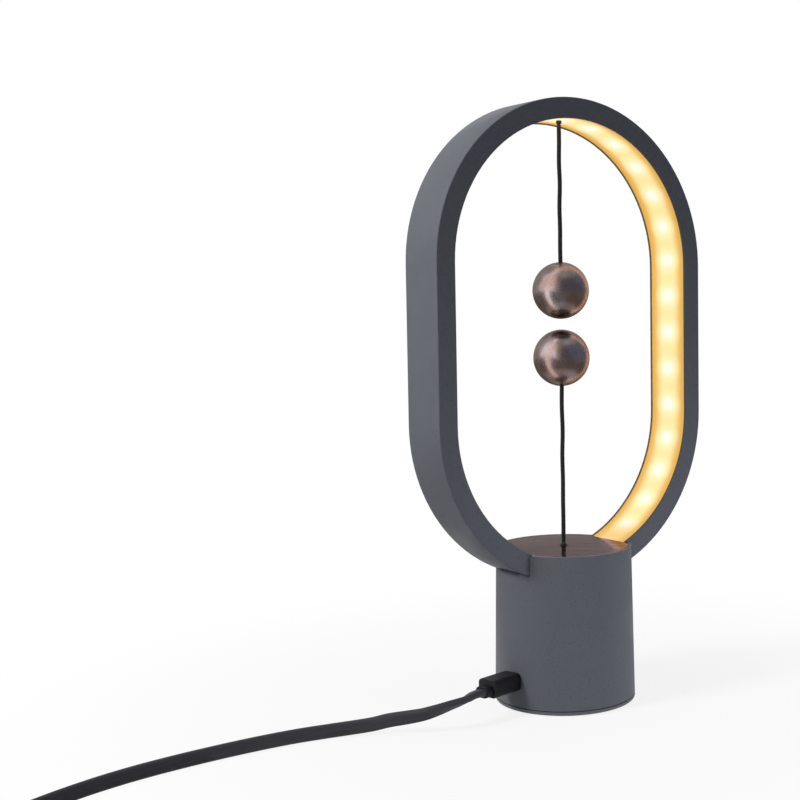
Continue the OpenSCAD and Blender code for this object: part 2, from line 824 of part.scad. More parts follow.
module lower_cord_stop() at_ball(lower_z, 180) cord_stop();

module upper_ball() at_ball(upper_z, 0) ball();

module upper_ball_cap() at_ball(upper_z, 0) ball_cap();

module upper_magnet() at_ball(upper_z, 0) magnet();

module upper_cord_stop() at_ball(upper_z, 0) cord_stop();

// ---- lead and plugs ----

// Metal tip of the small plug, open towards the socket's tongue
module small_plug_tip() {
    color("#b9bcc0") at_port() difference() {
        bar_out(wall_x + tip_l, tip_w, tip_h, 0.3, tip_l - 0.02);
        bar_out(wall_x + tip_l + 1, tip_w - 2 * tip_wall, tip_h - 2 * tip_wall, 0.2, tip_l);
    }
}

module small_plug_grip() {
    color("#151517") at_port() bar_out(wall_x, grip_w, grip_h, 1.8, grip_l);
}

module strain_relief() {
    color("#151517") at_port() translate([0, 0, -relief_drop])
        bar_out(wall_x - grip_l - 0.02, relief_w, relief_h, relief_h / 2 - 0.1, relief_l - 0.04);
}

module usb_lead() {
    color("#1a1a1d") sweep(lead_path, lead_w, lead_t, [for (p = lead_path) lead_roll(p)], lead_sides);
}

module lead_coil() {
    color("#1a1a1d") sweep(coil_path, lead_w, lead_t, [for (p = coil_path) 90], coil_sides);
}

module lead_tail() {
    color("#1a1a1d") sweep(tail_path, lead_w, lead_t, [for (p = tail_path) 90], lead_sides);
}

// Strap round the far side of the coil
module coil_tie() {
    low = coil_start[2] - lead_w / 2 - 0.1;
    high = coil_top + lead_w / 2 + 0.3;
    near = coil_in_r - lead_t / 2 - 0.6;
    far = coil_out_r + lead_t / 2 + 0.3;
    color("#222226") translate([coil_x - tie_w / 2, coil_y, 0]) difference() {
        translate([0, near - tie_t, low - tie_t])
            cube([tie_w, far - near + 2 * tie_t, high - low + 2 * tie_t]);
        translate([-1, near, low]) cube([tie_w + 2, far - near, high - low]);
    }
}

module at_big_plug() {
    translate(tail_end) children();
}

module big_plug_relief() {
    color("#151517") at_big_plug() {
        bar_out(-0.02, 8, 5, 2.4, big_relief_l - 0.02);
        for (x = [1.2 : 2 : big_relief_l - 1.5]) bar_out(-x, 9.4, 6.2, 2.8, 1);
    }
}

module big_plug_grip() {
    color("#151517") at_big_plug()
        bar_out(-big_relief_l - 0.02, big_grip_w, big_grip_h - 0.02, 2, big_grip_l);
}

module big_plug_shell() {
    x = -big_relief_l - big_grip_l - 0.04;
    color("#b9bcc0") at_big_plug() {
        difference() {
            bar_out(x, big_shell_w, big_shell_h, 0.5, big_shell_l);
            bar_out(x - 1, big_shell_w - 2 * big_shell_t, big_shell_h - 2 * big_shell_t, 0.3, big_shell_l);
        }
        translate([x - big_shell_l + 1, -5.2, -1.7]) cube([big_shell_l - 1.5, 10.4, 1.6]);
    }
}

ring_frame();
light_diffuser();
led_strip();
led_chips();
upper_anchor();
base_housing();
top_plate();
plate_eyelet();
shelf();
shelf_screws();
ring_screws();
guide_bush();
return_spring();
switch_bracket();
bracket_screws();
switch_body();
switch_blades();
switch_screws();
switch_lever();
switch_button();
main_board();
board_parts();
board_screws();
usb_socket();
socket_tongue();
led_wires();
switch_wires();
ballast_weight();
bottom_cover();
cover_screws();
rubber_pad();
plunger();
pull_cord();
lower_knot();
lower_cord();
lower_ball();
lower_ball_cap();
lower_magnet();
lower_cord_stop();
upper_knot();
upper_cord();
upper_ball();
upper_ball_cap();
upper_magnet();
upper_cord_stop();
small_plug_tip();
small_plug_grip();
strain_relief();
usb_lead();
lead_coil();
coil_tie();
lead_tail();
big_plug_relief();
big_plug_grip();
big_plug_shell();
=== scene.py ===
"""Dresses the packed model of a magnetic balance lamp: finishes, softened edges, cords, stage and camera.

Sizes are in metres, in the model's own frame: the base stands on z = 0 and the ring's front faces -Y.
"""

import json
import math

import bmesh
import bpy
from mathutils import Matrix, Vector

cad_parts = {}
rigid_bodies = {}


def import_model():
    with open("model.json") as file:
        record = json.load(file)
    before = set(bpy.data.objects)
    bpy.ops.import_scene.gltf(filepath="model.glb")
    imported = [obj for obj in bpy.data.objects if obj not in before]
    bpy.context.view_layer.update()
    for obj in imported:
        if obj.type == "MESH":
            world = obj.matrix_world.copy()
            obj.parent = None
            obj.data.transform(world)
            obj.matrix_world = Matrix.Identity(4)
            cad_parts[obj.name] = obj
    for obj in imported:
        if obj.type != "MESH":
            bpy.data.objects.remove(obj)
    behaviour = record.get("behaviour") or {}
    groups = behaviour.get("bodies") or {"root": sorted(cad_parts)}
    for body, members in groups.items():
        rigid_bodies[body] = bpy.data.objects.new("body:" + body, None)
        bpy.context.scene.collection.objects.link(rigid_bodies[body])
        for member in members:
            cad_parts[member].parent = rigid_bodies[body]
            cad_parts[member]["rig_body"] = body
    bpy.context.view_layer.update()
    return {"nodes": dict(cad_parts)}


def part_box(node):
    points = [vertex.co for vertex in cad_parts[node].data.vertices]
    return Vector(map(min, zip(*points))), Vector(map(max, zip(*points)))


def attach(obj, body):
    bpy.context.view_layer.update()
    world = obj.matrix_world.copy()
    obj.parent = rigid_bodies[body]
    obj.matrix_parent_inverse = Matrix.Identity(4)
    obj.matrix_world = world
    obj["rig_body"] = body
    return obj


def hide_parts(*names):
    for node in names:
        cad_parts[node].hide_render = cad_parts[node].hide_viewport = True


bl_info = {
    "name": "Magnetic balance lamp",
    "version": (1, 0, 0),
    "blender": (4, 5, 0),
    "location": "3D View > Sidebar > Balance lamp",
    "description": "Dresses the packed lamp with its finishes, cords, stage and camera",
    "category": "Object",
}

for start_object in list(bpy.data.objects):
    bpy.data.objects.remove(start_object)
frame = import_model()

MM = 0.001
SHARP = math.radians(30)


def shade(red, green, blue):
    """A colour as it is seen on screen, 0 to 255, in the linear values that Blender keeps."""
    return tuple(
        part / 12.92 if part <= 0.04045 else ((part + 0.055) / 1.055) ** 2.4
        for part in (value / 255 for value in (red, green, blue))
    )


def colour_setting(name, description, red, green, blue):
    return bpy.props.FloatVectorProperty(
        name=name, description=description, subtype="COLOR", min=0, max=1, default=shade(red, green, blue)
    )


def length_setting(name, description, default):
    return bpy.props.FloatProperty(
        name=name, description=description, unit="LENGTH", precision=5, min=0, default=default
    )


def power_setting(name, description, default):
    return bpy.props.FloatProperty(name=name, description=description, unit="POWER", min=0, default=default)


def angle_setting(name, description, degrees):
    return bpy.props.FloatProperty(
        name=name, description=description, subtype="ANGLE", default=math.radians(degrees)
    )


# ---- settings ----

RING_LOW, RING_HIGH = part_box("ring_frame")
BASE_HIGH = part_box("base_housing")[1]
PLATE_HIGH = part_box("top_plate")[1]


class LampPaintSettings(bpy.types.PropertyGroup):
    """The painted shell"""

    colour: colour_setting("Paint", "Slate paint of ring and base", 84, 87, 94)
    fleck: colour_setting("Fleck", "Darker grains in the paint", 60, 62, 69)
    ring_edge: length_setting("Ring edge", "Rounding of the ring's edges", 0.35 * MM)
    base_edge: length_setting("Base edge", "Rounding of the base's rim", 0.3 * MM)
    plate_edge: length_setting("Plate edge", "Rounding of the brushed plate's rim", 0.15 * MM)


class LampLightSettings(bpy.types.PropertyGroup):
    """The lit band inside the ring"""

    core: colour_setting("Core", "Light right over a chip", 255, 254, 240)
    halo: colour_setting("Halo", "Light round a chip", 255, 244, 190)
    field: colour_setting("Field", "Light between two chips", 255, 231, 160)
    rim: colour_setting("Rim", "Light along the band's edges", 226, 166, 54)
    line_radius: length_setting("Light line", "Radius of the chips' line in the ring's ends", 64.15 * MM)
    pitch: length_setting("Pitch", "Distance from chip to chip", 16 * MM)
    shift: length_setting("Shift", "Distance of the first chip from the ring's top", 1.6 * MM)


class LampBallSettings(bpy.types.PropertyGroup):
    """The two magnetic balls"""

    colour: colour_setting("Metal", "Gunmetal of the balls", 126, 118, 118)
    bronze: colour_setting("Bronze", "Warm patches in the gunmetal", 112, 96, 90)
    radius: length_setting("Radius", "Radius of a ball", 11.8 * MM)
    pocket_radius: length_setting("Pocket", "Radius of the pocket under the cap", 6 * MM)
    pocket_floor: length_setting("Pocket floor", "Depth of the pocket below the ball's centre", 9.32 * MM)
    cap_floor: length_setting("Cap floor", "Height of the cap's underside over the ball's centre", 3 * MM)
    hole_radius: length_setting("Cord hole", "Radius of the cap's cord hole", 0.95 * MM)
    seam: length_setting("Seam", "Rounding on both sides of the cap's seam", 0.12 * MM)


class LampCordSettings(bpy.types.PropertyGroup):
    """The two braided cords"""

    colour: colour_setting("Yarn", "Black yarn", 13, 12, 14)
    diameter: length_setting("Diameter", "Diameter of a cord", 1.8 * MM)
    plait: length_setting("Plait", "Length of one plait of the braid", 2.2 * MM)
    wave: length_setting("Wave", "How far a cord strays from a straight line", 0.12 * MM)


class LampLeadSettings(bpy.types.PropertyGroup):
    """The charging lead and its two plugs"""

    colour: colour_setting("Rubber", "Black of the plugs", 17, 17, 20)
    jacket: colour_setting("Jacket", "Dark grey of the flat lead", 54, 54, 58)
    width: length_setting("Width", "Width of the flat lead", 5.6 * MM)
    thickness: length_setting("Thickness", "Thickness of the flat lead", 2.8 * MM)
    real_length: length_setting("Length", "Length of the whole lead", 1.0)
    plug_edge: length_setting("Plug edge", "Rounding of the small plug's ends", 0.7 * MM)
    relief_edge: length_setting("Relief edge", "Rounding of the small plug's strain relief", 0.5 * MM)
    big_edge: length_setting("Big plug edge", "Rounding of the big plug's ends", 1.1 * MM)
    big_relief_edge: length_setting("Big relief edge", "Rounding of the big plug's strain relief", 0.25 * MM)
    tie_edge: length_setting("Tie edge", "Rounding of the coil's tie", 0.2 * MM)


class LampStageSettings(bpy.types.PropertyGroup):
    """Floor, lamps and camera"""

    floor: colour_setting("Floor", "Pale floor", 238, 238, 240)
    key_power: power_setting("Key", "Power of the lamp on the left", 0.62)
    fill_power: power_setting("Fill", "Power of the low lamp at the right front", 0.11)
    top_power: power_setting("Top", "Power of the lamp overhead", 0.6)
    sky: bpy.props.FloatProperty(
        name="Sky", description="Strength of the even light from all sides", min=0, default=0.3
    )
    camera_place: bpy.props.FloatVectorProperty(
        name="Camera", description="Where the camera stands", subtype="TRANSLATION",
        default=(-0.337569, -0.445481, 0.163406),
    )
    yaw: angle_setting("Yaw", "Turn of the view from +Y towards +X", 37.928)
    pitch: angle_setting("Pitch", "Tilt of the view above the horizon", -3.806)
    roll: angle_setting("Roll", "Turn of the camera about its own axis", -0.613)
    lens: bpy.props.FloatProperty(
        name="Lens", description="Focal length on a 36 mm sensor", unit="CAMERA", default=60.198
    )
    shift: bpy.props.FloatProperty(name="Shift", description="Sideways shift of the lens", default=-0.225)


# ---- nodes ----

# The Mix node's sockets for colours, by number, because it has each name once for every kind of value
MIX_AMOUNT, MIX_FIRST, MIX_SECOND, MIX_RESULT = 0, 6, 7, 2


class NodeSheet:
    """Adds nodes to one node tree, in a row, and joins their sockets."""

    def __init__(self, tree):
        self.tree = tree

    def add(self, kind, values=None, **settings):
        node = self.tree.nodes.new(kind)
        node.location = (190 * len(self.tree.nodes), 0)
        for name, value in settings.items():
            setattr(node, name, value)
        for name, value in (values or {}).items():
            self.feed(node.inputs[name], value)
        return node

    def feed(self, socket, value):
        if isinstance(value, bpy.types.NodeSocket):
            self.tree.links.new(value, socket)
        elif value is not None:
            socket.default_value = value

    def calc(self, operation, *values, clamp=False):
        node = self.add("ShaderNodeMath", operation=operation, use_clamp=clamp)
        for socket, value in zip(node.inputs, values):
            self.feed(socket, value)
        return node.outputs[0]

    def band(self, value, start, end, low=0.0, high=1.0):
        """A value eased from low to high while the input goes from start to end."""
        node = self.add(
            "ShaderNodeMapRange",
            {"Value": value, "From Min": start, "From Max": end, "To Min": low, "To Max": high},
            interpolation_type="SMOOTHSTEP",
        )
        return node.outputs["Result"]

    def distance(self, across, along):
        """How far from the origin two coordinates lie."""
        squares = [self.calc("POWER", part, 2.0) for part in (across, along)]
        return self.calc("SQRT", self.calc("ADD", *squares))

    def blend(self, amount, first, second):
        """The first colour where the amount is 0, the second where it is 1."""
        node = self.add("ShaderNodeMix", data_type="RGBA")
        self.feed(node.inputs[MIX_AMOUNT], amount)
        for number, colour in ((MIX_FIRST, first), (MIX_SECOND, second)):
            linked = isinstance(colour, bpy.types.NodeSocket)
            self.feed(node.inputs[number], colour if linked else (*colour, 1))
        return node.outputs[MIX_RESULT]

    def noise(self, vector, scale, detail=2.0, roughness=0.5):
        values = {"Vector": vector, "Scale": scale, "Detail": detail, "Roughness": roughness}
        return self.add("ShaderNodeTexNoise", values).outputs["Fac"]

    def parts(self, vector):
        return self.add("ShaderNodeSeparateXYZ", {"Vector": vector}).outputs

    def stretched(self, vector, scale=(1, 1, 1), turn=0.0):
        """A place for a pattern that is finer by the scale on each axis, or turned about Z."""
        values = {"Vector": vector, "Rotation": (0, 0, turn), "Scale": scale}
        return self.add("ShaderNodeMapping", values).outputs[0]

    def group(self, tree, **values):
        node = self.add("ShaderNodeGroup", node_tree=tree)
        for name, value in values.items():
            self.feed(node.inputs[name.replace("_", " ").title()], value)
        return node.outputs


def new_group(name, inputs, outputs):
    """An empty node group with a Vector and float inputs and outputs. Gives its sheet and input sockets."""
    tree = bpy.data.node_groups.new(name, "ShaderNodeTree")
    tree.interface.new_socket(name="Vector", in_out="INPUT", socket_type="NodeSocketVector")
    for label, default in inputs.items():
        socket = tree.interface.new_socket(name=label, in_out="INPUT", socket_type="NodeSocketFloat")
        socket.default_value = default
    for label in outputs:
        tree.interface.new_socket(name=label, in_out="OUTPUT", socket_type="NodeSocketFloat")
    sheet = NodeSheet(tree)
    return sheet, sheet.add("NodeGroupInput").outputs


def grain_group():
    """Fine grain for paint, plastic and cast metal: its height, a fleck mask and slow drifts."""
    if "surface_grain" in bpy.data.node_groups:
        return bpy.data.node_groups["surface_grain"]
    sheet, given = new_group("surface_grain", {"Grains": 2500.0, "Drift": 45.0}, ("Height", "Fleck", "Drift"))
    fine = sheet.noise(given["Vector"], given["Grains"], 3.0, 0.6)
    coarse = sheet.noise(given["Vector"], sheet.calc("MULTIPLY", given["Grains"], 0.31), 2.0, 0.5)
    drift = sheet.noise(given["Vector"], given["Drift"], 2.0, 0.5)
    height = sheet.calc("ADD", sheet.calc("MULTIPLY", fine, 0.6), sheet.calc("MULTIPLY", coarse, 0.4))
    fleck = sheet.band(fine, 0.56, 0.74)
    sheet.add("NodeGroupOutput", {"Height": height, "Fleck": fleck, "Drift": sheet.band(drift, 0.3, 0.7)})
    return sheet.tree


def scratch_group():
    """Fine straight scratches along X, as brushing leaves them: their height and where they shine."""
    if "fine_scratches" in bpy.data.node_groups:
        return bpy.data.node_groups["fine_scratches"]
    sheet, given = new_group("fine_scratches", {"Lines": 1400.0, "Length": 30.0}, ("Height", "Shine"))
    drawn = sheet.add("ShaderNodeCombineXYZ")
    scales = (given["Length"], given["Lines"], given["Lines"])
    for socket, part, scale in zip(drawn.inputs, sheet.parts(given["Vector"]), scales):
        sheet.feed(socket, sheet.calc("MULTIPLY", part, scale))
    lines = sheet.noise(drawn.outputs[0], 1.0, 4.0, 0.65)
    sheet.add("NodeGroupOutput", {"Height": lines, "Shine": sheet.band(lines, 0.42, 0.66)})
    return sheet.tree


def braid_group():
    """A plaited sleeve on a cord's own map, whose U goes once round it: the strands' height and the gaps
    between them, which carry painted shade.
    """
    if "braided_sleeve" in bpy.data.node_groups:
        return bpy.data.node_groups["braided_sleeve"]
    sheet, given = new_group("braided_sleeve", {"Strands": 8.0, "Plaits": 1.0}, ("Height", "Gap"))
    u, v, _ = sheet.parts(given["Vector"])
    around = sheet.calc("MULTIPLY", u, given["Strands"])
    along = sheet.calc("MULTIPLY", v, given["Plaits"])
    ridges = []
    for turn in ("ADD", "SUBTRACT"):
        phase = sheet.calc("MULTIPLY", sheet.calc(turn, around, along), math.pi)
        ridges.append(sheet.calc("ABSOLUTE", sheet.calc("SINE", phase)))
    height = sheet.calc("MAXIMUM", *ridges)
    sheet.add("NodeGroupOutput", {"Height": height, "Gap": sheet.band(height, 0.55, 0.8, 1.0, 0.0)})
    return sheet.tree


def light_pool_group():
    """Where the light gathers on the band's own map, whose U counts chips and V goes from lip to lip."""
    if "light_pools" in bpy.data.node_groups:
        return bpy.data.node_groups["light_pools"]
    sheet, given = new_group("light_pools", {"Half Width": 0.6}, ("Core", "Halo", "Rim"))
    u, v, _ = sheet.parts(given["Vector"])
    from_chip = sheet.calc("SUBTRACT", sheet.calc("FRACT", sheet.calc("ADD", u, 0.5)), 0.5)
    away = sheet.distance(from_chip, sheet.calc("MULTIPLY", v, given["Half Width"]))
    core = sheet.band(away, 0.08, 0.27, 1.0, 0.0)
    halo = sheet.band(away, 0.16, 0.52, 1.0, 0.0)
    rim = sheet.band(sheet.calc("ABSOLUTE", v), 0.3, 0.92)
    sheet.add("NodeGroupOutput", {"Core": core, "Halo": halo, "Rim": rim})
    return sheet.tree


# ---- finishes ----


def new_finish(name, **sockets):
    """A material whose shader's constant sockets are set by name. Gives also its sheet and the shader."""
    material = bpy.data.materials.new(name)
    material.use_nodes = True
    sheet = NodeSheet(material.node_tree)
    shader = material.node_tree.nodes["Principled BSDF"]
    for label, value in sockets.items():
        sheet.feed(shader.inputs[label.replace("_", " ")], value)
    return material, sheet, shader


def object_place(sheet):
    return sheet.add("ShaderNodeTexCoord").outputs["Object"]


def own_map(sheet):
    return sheet.add("ShaderNodeUVMap", uv_map="UVMap").outputs["UV"]


def bumped(sheet, shader, height, depth, strength=1.0):
    bump = sheet.add("ShaderNodeBump", {"Height": height, "Distance": depth, "Strength": strength})
    sheet.feed(shader.inputs["Normal"], bump.outputs[0])


def grained_finish(name, colour, fleck, grains=2500.0, depth=0.02 * MM, rough=(0.45, 0.6), **sockets):
    """Paint, plastic or cast metal with grains, darker flecks, and gloss that drifts."""
    material, sheet, shader = new_finish(name, **sockets)
    marks = sheet.group(grain_group(), vector=object_place(sheet), grains=grains)
    sheet.feed(shader.inputs["Base Color"], sheet.blend(marks["Fleck"], colour, fleck))
    sheet.feed(shader.inputs["Roughness"], sheet.band(marks["Drift"], 0, 1, *rough))
    bumped(sheet, shader, marks["Height"], depth)
    return material


def scratched_metal(
    name, colour, worn, lines=1400.0, length=30.0, depth=0.006 * MM, rough=(0.3, 0.45), turn=0.0
):
    """Bare metal with fine scratches that lie one way."""
    material, sheet, shader = new_finish(name, Metallic=1.0)
    place = sheet.stretched(object_place(sheet), turn=turn)
    marks = sheet.group(scratch_group(), vector=place, lines=lines, length=length)
    sheet.feed(shader.inputs["Base Color"], sheet.blend(marks["Shine"], colour, worn))
    sheet.feed(shader.inputs["Roughness"], sheet.band(marks["Shine"], 0, 1, rough[1], rough[0]))
    bumped(sheet, shader, marks["Height"], depth)
    return material


def slate_paint():
    paint = bpy.context.scene.lamp_paint
    return grained_finish(
        "slate_paint", paint.colour, paint.fleck, grains=2300.0, depth=0.05 * MM, rough=(0.5, 0.62),
        Specular_IOR_Level=0.22,
    )


# Painted reflections of the lit band: colours that only rays off metal see, in linear values where 1 is a
# white page
PAINTED_GOLD_REFLECTION = (2.1, 1.0, 0.08)
PAINTED_WHITE_REFLECTION = (3.8, 3.4, 3.4)


def painted_pale_reflection_mask(sheet):
    """Where the band's painted reflection is pale: along its edges, and all over on its left side."""
    edge = sheet.band(sheet.calc("ABSOLUTE", sheet.parts(own_map(sheet))[1]), 0.5, 0.72)
    # Painted highlight: the band's whole left side shows pale in reflections
    left = sheet.band(sheet.parts(object_place(sheet))[0], -0.03, 0.02, 1.0, 0.0)
    return sheet.calc("MAXIMUM", edge, left)


def lit_band():
    light = bpy.context.scene.lamp_light
    material, sheet, shader = new_finish(
        "lit_diffuser", Base_Color=(0.12, 0.1, 0.05, 1), Roughness=0.45, Specular_IOR_Level=0.3,
        Emission_Strength=0.95,
    )
    pools = sheet.group(light_pool_group(), vector=own_map(sheet), half_width=0.6)
    glow = sheet.blend(pools["Rim"], light.field, light.rim)
    glow = sheet.blend(pools["Halo"], glow, light.halo)
    glow = sheet.blend(pools["Core"], glow, light.core)
    # The band's ends by the base are dimmer
    ends = sheet.band(sheet.parts(object_place(sheet))[2], 0.064, 0.074, 0.6, 0.0)
    glow = sheet.blend(ends, glow, light.rim)
    # The band is brighter than a white page, and only its reflections in metal can show that; the colours of
    # these reflections are painted, gold, and pale along the band's edges and on its whole left side
    painted_reflection = sheet.blend(painted_pale_reflection_mask(sheet), PAINTED_GOLD_REFLECTION, PAINTED_WHITE_REFLECTION)
    reflected = sheet.add("ShaderNodeLightPath").outputs["Is Glossy Ray"]
    sheet.feed(shader.inputs["Emission Color"], sheet.blend(reflected, glow, painted_reflection))
    frost = sheet.noise(object_place(sheet), 3000.0)
    bumped(sheet, shader, frost, 0.01 * MM)
    return material


def ball_metal():
    """Satin gunmetal with bronze clouds and fine polishing marks."""
    ball = bpy.context.scene.lamp_ball
    material, sheet, shader = new_finish("ball_gunmetal", Metallic=1.0, Specular_Tint=(0.6, 0.52, 0.47, 1))
    place = object_place(sheet)
    clouds = sheet.band(sheet.noise(place, 110.0, 3.0, 0.55), 0.38, 0.62)
    marks = sheet.noise(place, 1500.0, 4.0, 0.6)
    sheet.feed(shader.inputs["Base Color"], sheet.blend(clouds, ball.colour, ball.bronze))
    sheet.feed(shader.inputs["Roughness"], sheet.band(marks, 0.35, 0.65, 0.25, 0.33))
    bumped(sheet, shader, marks, 0.005 * MM)
    return material


# How far the plate's brushing is turned from X
BRUSHING_TURN = math.radians(38)


def brushed_plate():
    """Dark brown plate, brushed across the view that the photograph shows, with streaks of two tones."""
    material, sheet, shader = new_finish("brushed_plate", Metallic=0.9, Specular_Tint=(0.26, 0.22, 0.22, 1))
    place = sheet.stretched(object_place(sheet), turn=BRUSHING_TURN)
    marks = sheet.group(scratch_group(), vector=place, lines=1300.0, length=45.0)
    broad = sheet.noise(sheet.stretched(place, (40.0, 330.0, 40.0)), 1.0, 3.0, 0.6)
    tone = sheet.blend(sheet.band(broad, 0.35, 0.65), shade(120, 110, 112), shade(138, 127, 129))
    tone = sheet.blend(sheet.calc("MULTIPLY", marks["Shine"], 0.45), tone, shade(146, 132, 129))
    sheet.feed(shader.inputs["Base Color"], tone)
    sheet.feed(shader.inputs["Roughness"], sheet.band(marks["Shine"], 0, 1, 0.18, 0.1))
    bumped(sheet, shader, marks["Height"], 0.012 * MM)
    return material


def braided_yarn():
    """Black plaited yarn: strands in relief, a soft sheen, and painted shade in the gaps between strands."""
    cord = bpy.context.scene.lamp_cord
    material, sheet, shader = new_finish(
        "cord_yarn", Roughness=0.75, Sheen_Weight=0.15, Specular_IOR_Level=0.25
    )
    place = own_map(sheet)
    plaits = sheet.group(braid_group(), vector=place, strands=4.0, plaits=1 / cord.plait)
    fuzz = sheet.noise(sheet.stretched(place, (60, 6000, 1)), 1.0, 2.0)
    lit = sheet.blend(fuzz, cord.colour, shade(28, 27, 30))
    # Painted shade: the yarn is darker in the gaps between strands
    sheet.feed(shader.inputs["Base Color"], sheet.blend(plaits["Gap"], lit, shade(5, 5, 6)))
    bumped(sheet, shader, plaits["Height"], 0.08 * MM)
    return material


def knot_yarn():
    return grained_finish(
        "knot_yarn", shade(24, 23, 26), shade(8, 8, 9), grains=3800.0, depth=0.06 * MM, rough=(0.7, 0.85)
    )


def lead_rubber():
    lead = bpy.context.scene.lamp_lead
    return grained_finish(
        "lead_rubber", lead.colour, shade(15, 15, 17), grains=3200.0, depth=0.02 * MM, rough=(0.5, 0.64),
        Specular_IOR_Level=0.22,
    )


def lead_jacket():
    """The flat lead's own rubber, greyer than its plugs, with fine lines drawn along it."""
    lead = bpy.context.scene.lamp_lead
    material, sheet, shader = new_finish("lead_jacket", Specular_IOR_Level=0.25)
    drawn = sheet.noise(sheet.stretched(own_map(sheet), (90, 60, 1)), 1.0, 3.0, 0.6)
    marks = sheet.group(grain_group(), vector=object_place(sheet), grains=3000.0)
    tone = sheet.blend(sheet.band(drawn, 0.35, 0.7), lead.jacket, shade(44, 44, 48))
    sheet.feed(shader.inputs["Base Color"], sheet.blend(marks["Fleck"], tone, shade(38, 38, 41)))
    sheet.feed(shader.inputs["Roughness"], sheet.band(marks["Drift"], 0, 1, 0.5, 0.64))
    bumped(sheet, shader, marks["Height"], 0.02 * MM)
    return material


def tie_weave():
    """A woven nylon strap: crossed threads from two wave patterns."""
    material, sheet, shader = new_finish("tie_weave", Roughness=0.85, Sheen_Weight=0.3)
    x, y, z = sheet.parts(object_place(sheet))
    threads = [
        sheet.calc("ABSOLUTE", sheet.calc("SINE", sheet.calc("MULTIPLY", part, 5200.0)))
        for part in (x, sheet.calc("ADD", y, z))
    ]
    weave = sheet.calc("MULTIPLY", *threads)
    sheet.feed(shader.inputs["Base Color"], sheet.blend(weave, shade(16, 16, 19), shade(46, 46, 52)))
    bumped(sheet, shader, weave, 0.08 * MM)
    return material


def circuit_board():
    """Green solder mask with paler tracks under it."""
    material, sheet, shader = new_finish(
        "circuit_board", Roughness=0.32, Coat_Weight=0.4, Coat_Roughness=0.15
    )
    place = object_place(sheet)
    bricks = {"Vector": place, "Scale": 260.0, "Mortar Size": 0.03}
    joints = sheet.add("ShaderNodeTexBrick", bricks, offset=0.35).outputs["Fac"]
    cells = sheet.add("ShaderNodeTexVoronoi", {"Vector": place, "Scale": 190.0}, feature="DISTANCE_TO_EDGE")
    tracks = sheet.band(cells.outputs["Distance"], 0.02, 0.05, 1.0, 0.0)
    lines = sheet.calc("MAXIMUM", joints, tracks)
    sheet.feed(shader.inputs["Base Color"], sheet.blend(lines, shade(22, 78, 46), shade(52, 122, 74)))
    bumped(sheet, shader, lines, 0.03 * MM)
    return material


def lit_chip():
    """A chip's yellow phosphor on its white cup, lit."""
    material, sheet, shader = new_finish("led_chip", Roughness=0.4, Emission_Strength=1.6)
    grains = sheet.noise(object_place(sheet), 900.0)
    sheet.feed(shader.inputs["Base Color"], sheet.blend(grains, shade(240, 214, 120), shade(252, 240, 190)))
    glow = sheet.blend(grains, shade(255, 238, 178), shade(255, 248, 214))
    sheet.feed(shader.inputs["Emission Color"], glow)
    return material


FINISHES = {
    "slate_paint": slate_paint,
    "diffuser": lit_band,
    "ball_metal": ball_metal,
    "brushed_plate": brushed_plate,
    "cord_black": knot_yarn,
    "lead_rubber": lead_rubber,
    "tie_fabric": tie_weave,
    "green_board": circuit_board,
    "led": lit_chip,
    "white_board": lambda: grained_finish(
        "led_strip_mask", shade(236, 232, 222), shade(214, 206, 188), grains=700.0, depth=0.02 * MM,
        rough=(0.4, 0.5),
    ),
    "black_plastic": lambda: grained_finish("black_plastic", shade(42, 38, 39), shade(28, 26, 27)),
    "dark_plastic": lambda: grained_finish(
        "dark_plastic", shade(48, 49, 53), shade(34, 35, 38), grains=1500.0, depth=0.03 * MM,
        rough=(0.42, 0.6),
    ),
    "white_plastic": lambda: grained_finish(
        "white_plastic", shade(222, 218, 208), shade(204, 199, 187), grains=1800.0, rough=(0.3, 0.45)
    ),
    "red_plastic": lambda: grained_finish(
        "red_plastic", shade(176, 46, 34), shade(138, 32, 24), rough=(0.3, 0.42)
    ),
    "cover_plastic": lambda: grained_finish(
        "cover_plastic", shade(82, 82, 89), shade(62, 62, 68), grains=1900.0, depth=0.03 * MM,
        rough=(0.45, 0.58),
    ),
    "rubber": lambda: grained_finish(
        "foot_rubber", shade(24, 24, 26), shade(14, 14, 15), grains=1100.0, depth=0.06 * MM,
        rough=(0.72, 0.88),
    ),
    "magnet": lambda: scratched_metal(
        "magnet_plating", shade(178, 180, 184), shade(214, 216, 220), rough=(0.16, 0.3)
    ),
    "brass": lambda: scratched_metal(
        "brass", shade(186, 148, 78), shade(222, 190, 122), rough=(0.2, 0.36)
    ),
    "spring_steel": lambda: scratched_metal(
        "spring_steel", shade(140, 142, 146), shade(190, 192, 196), rough=(0.22, 0.38)
    ),
    "bracket_steel": lambda: scratched_metal(
        "bracket_steel", shade(124, 127, 132), shade(168, 171, 176), lines=700.0, rough=(0.34, 0.5)
    ),
    "screw_steel": lambda: scratched_metal(
        "screw_steel", shade(150, 152, 156), shade(204, 206, 210), rough=(0.2, 0.36), turn=0.6
    ),
    "nickel": lambda: scratched_metal(
        "nickel_shell", shade(176, 177, 180), shade(216, 217, 220), lines=900.0, rough=(0.18, 0.32)
    ),
    "ballast_steel": lambda: scratched_metal(
        "ballast_steel", shade(112, 113, 116), shade(150, 151, 154), lines=500.0, length=120.0,
        depth=0.02 * MM, rough=(0.4, 0.6),
    ),
    "wire_red": lambda: grained_finish(
        "wire_red", shade(158, 34, 30), shade(122, 24, 22), rough=(0.35, 0.5)
    ),
    "wire_black": lambda: grained_finish(
        "wire_black", shade(30, 30, 32), shade(16, 16, 18), rough=(0.35, 0.5)
    ),
}


